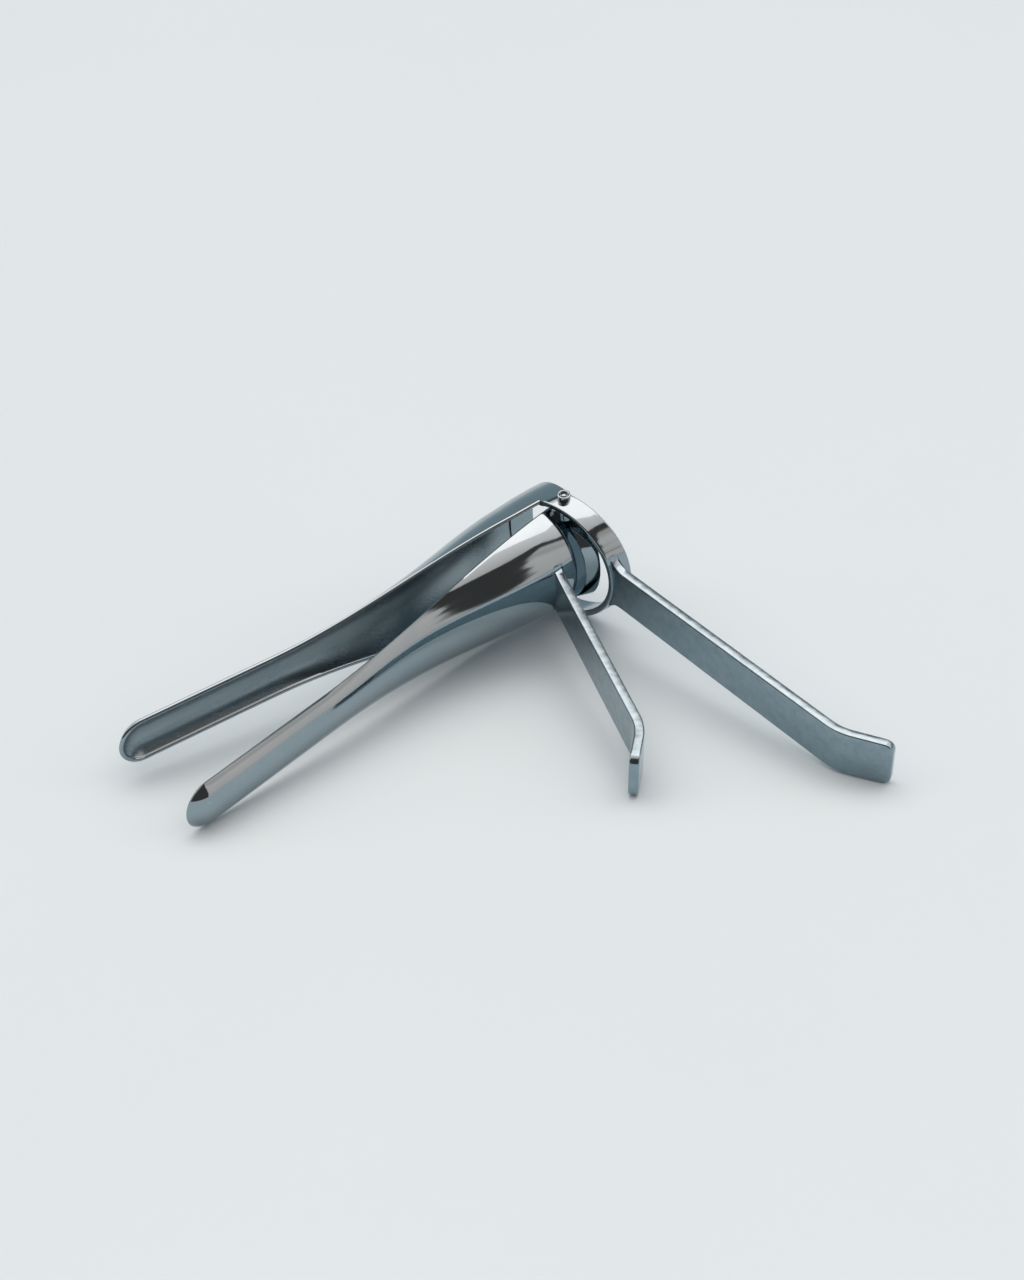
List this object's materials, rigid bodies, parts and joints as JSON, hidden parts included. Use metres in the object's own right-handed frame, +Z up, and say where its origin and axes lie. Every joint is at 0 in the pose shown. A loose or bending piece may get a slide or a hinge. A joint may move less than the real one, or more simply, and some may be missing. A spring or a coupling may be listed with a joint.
{
  "type": "bivalve speculum",
  "caption": "Metal bivalve speculum: two slim trough blades on a riveted hinge, opened by squeezing flat bent handles.",
  "frame": {"origin": "centre of the footprint on the surface that the instrument lies on", "axes": "+Z up from that surface, +X to the long handle's end and -X to the blade tips; the hinge axis leans 9.4 degrees from +Z, towards the back"},
  "size_m": [0.186, 0.1068, 0.0394],
  "materials": {
    "blade_chrome": "mirror polished plating, fine wipe marks",
    "collar_chrome": "mirror polished plating",
    "handle_chrome": "polished plating, slightly softer on the flats",
    "rivet_steel": "turned, polished crown"
  },
  "bodies": {
    "rear_half": {"rear_blade": "blade_chrome", "rear_collar": "collar_chrome", "rear_handle": "handle_chrome", "upper_hinge_bush": "rivet_steel", "lower_hinge_bush": "rivet_steel", "upper_hinge_pin": "rivet_steel", "lower_hinge_pin": "rivet_steel"},
    "front_half": {"front_blade": "blade_chrome", "front_handle": "handle_chrome"}
  },
  "joints": [
    {"name": "blade_hinge", "type": "hinge", "parent": "rear_half", "child": "front_half", "pos_m": [0.01446, 0.037, 0.01968], "axis": [0.0145, -0.1628, 0.9866], "range_deg": [-12, 22]}
  ]
}
